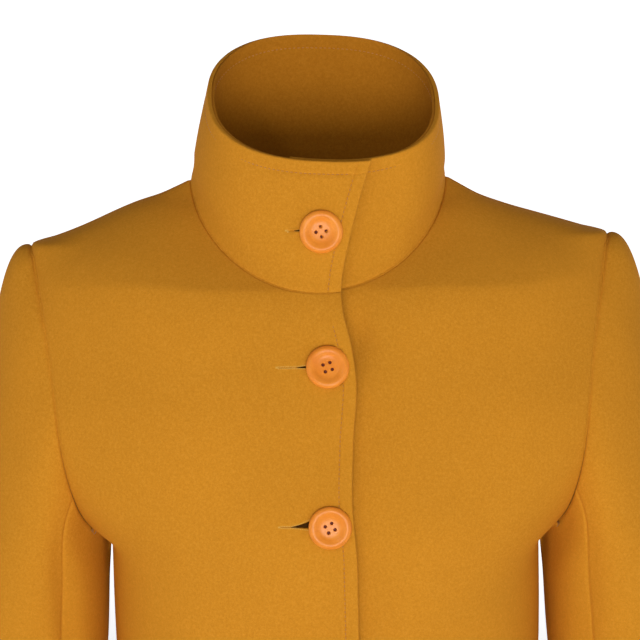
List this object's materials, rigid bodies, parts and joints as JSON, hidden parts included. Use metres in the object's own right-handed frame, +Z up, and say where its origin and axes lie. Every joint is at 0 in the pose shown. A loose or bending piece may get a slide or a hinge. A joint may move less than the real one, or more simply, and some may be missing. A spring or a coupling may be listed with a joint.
{
  "type": "buttoned coat",
  "caption": "Single-breasted wool coat with a standing funnel collar, lapped button front, set-in sleeves and full lining, shown buttoned as if worn.",
  "frame": {"origin": "midway between the two neck-side shoulder points, where the coat rests on the wearer's shoulders", "axes": "+Z up along the body, front towards -Y, wearer's left towards +X"},
  "size_m": [0.6296, 0.282, 0.9365],
  "materials": {
    "wool_coating": "matte felted wool",
    "lining_satin": "satin weave",
    "interlining": "matte woven",
    "wadding": "matte felt",
    "thread": "twisted thread",
    "button_resin": "polished"
  },
  "bodies": {
    "coat_body": {"right_front": "wool_coating", "left_front": "wool_coating", "back_right": "wool_coating", "back_left": "wool_coating", "right_facing": "wool_coating", "left_facing": "wool_coating", "back_neck_facing": "wool_coating", "right_interlining": "interlining", "left_interlining": "interlining", "collar_outer": "wool_coating", "collar_inner": "wool_coating", "collar_interlining": "interlining", "lining_front_right": "lining_satin", "lining_front_left": "lining_satin", "lining_back": "lining_satin", "shoulder_pad_right": "wadding", "shoulder_pad_left": "wadding", "buttonhole_stitching": "thread", "thread_shanks": "thread", "sleeve_head_right": "wool_coating", "sleeve_head_left": "wool_coating"},
    "upper_sleeve_right": {"top_sleeve_upper_right": "wool_coating", "under_sleeve_upper_right": "wool_coating", "sleeve_lining_upper_right": "lining_satin", "sleeve_roll_right": "wadding"},
    "upper_sleeve_left": {"top_sleeve_upper_left": "wool_coating", "under_sleeve_upper_left": "wool_coating", "sleeve_lining_upper_left": "lining_satin", "sleeve_roll_left": "wadding"},
    "lower_sleeve_right": {"top_sleeve_lower_right": "wool_coating", "under_sleeve_lower_right": "wool_coating", "sleeve_lining_lower_right": "lining_satin", "cuff_facing_right": "wool_coating"},
    "lower_sleeve_left": {"top_sleeve_lower_left": "wool_coating", "under_sleeve_lower_left": "wool_coating", "sleeve_lining_lower_left": "lining_satin", "cuff_facing_left": "wool_coating"},
    "hanger_loop": {"hanger_loop": "wool_coating"},
    "button_1": {"button_1": "button_resin"},
    "button_2": {"button_2": "button_resin"},
    "button_3": {"button_3": "button_resin"},
    "button_4": {"button_4": "button_resin"},
    "button_5": {"button_5": "button_resin"}
  },
  "joints": [
    {"name": "shoulder_swing_right", "type": "hinge", "parent": "coat_body", "child": "upper_sleeve_right", "pos_m": [-0.215, -0.0075, -0.15], "axis": [-1, 0, 0], "range_deg": [-20, 60]},
    {"name": "elbow_bend_right", "type": "hinge", "parent": "upper_sleeve_right", "child": "lower_sleeve_right", "pos_m": [-0.2182, -0.012, -0.375], "axis": [-1, 0, 0], "range_deg": [0, 50]},
    {"name": "shoulder_swing_left", "type": "hinge", "parent": "coat_body", "child": "upper_sleeve_left", "pos_m": [0.215, -0.0075, -0.15], "axis": [-1, 0, 0], "range_deg": [-20, 60]},
    {"name": "elbow_bend_left", "type": "hinge", "parent": "upper_sleeve_left", "child": "lower_sleeve_left", "pos_m": [0.2182, -0.012, -0.375], "axis": [-1, 0, 0], "range_deg": [0, 50]},
    {"name": "button_swivel_1", "type": "hinge", "parent": "coat_body", "child": "button_1", "pos_m": [0.0014, -0.08479, -0.0253], "axis": [0, -0.9962, 0.0866], "range_deg": [-35, 35]},
    {"name": "button_swivel_2", "type": "hinge", "parent": "coat_body", "child": "button_2", "pos_m": [0.0039, -0.10375, -0.1178], "axis": [0, -0.9613, 0.2757], "range_deg": [-35, 35]},
    {"name": "button_swivel_3", "type": "hinge", "parent": "coat_body", "child": "button_3", "pos_m": [0.0033, -0.12471, -0.226], "axis": [0, -0.9984, 0.0568], "range_deg": [-35, 35]},
    {"name": "button_swivel_4", "type": "hinge", "parent": "coat_body", "child": "button_4", "pos_m": [0.003, -0.11645, -0.338], "axis": [0, -0.9957, -0.0929], "range_deg": [-35, 35]},
    {"name": "button_swivel_5", "type": "hinge", "parent": "coat_body", "child": "button_5", "pos_m": [0.003, -0.11932, -0.45], "axis": [0, -0.9965, 0.0839], "range_deg": [-35, 35]},
    {"name": "hanger_loop_swing", "type": "hinge", "parent": "coat_body", "child": "hanger_loop", "pos_m": [0, 0.047, -0.025], "axis": [-1, 0, 0], "range_deg": [0, 150]}
  ]
}
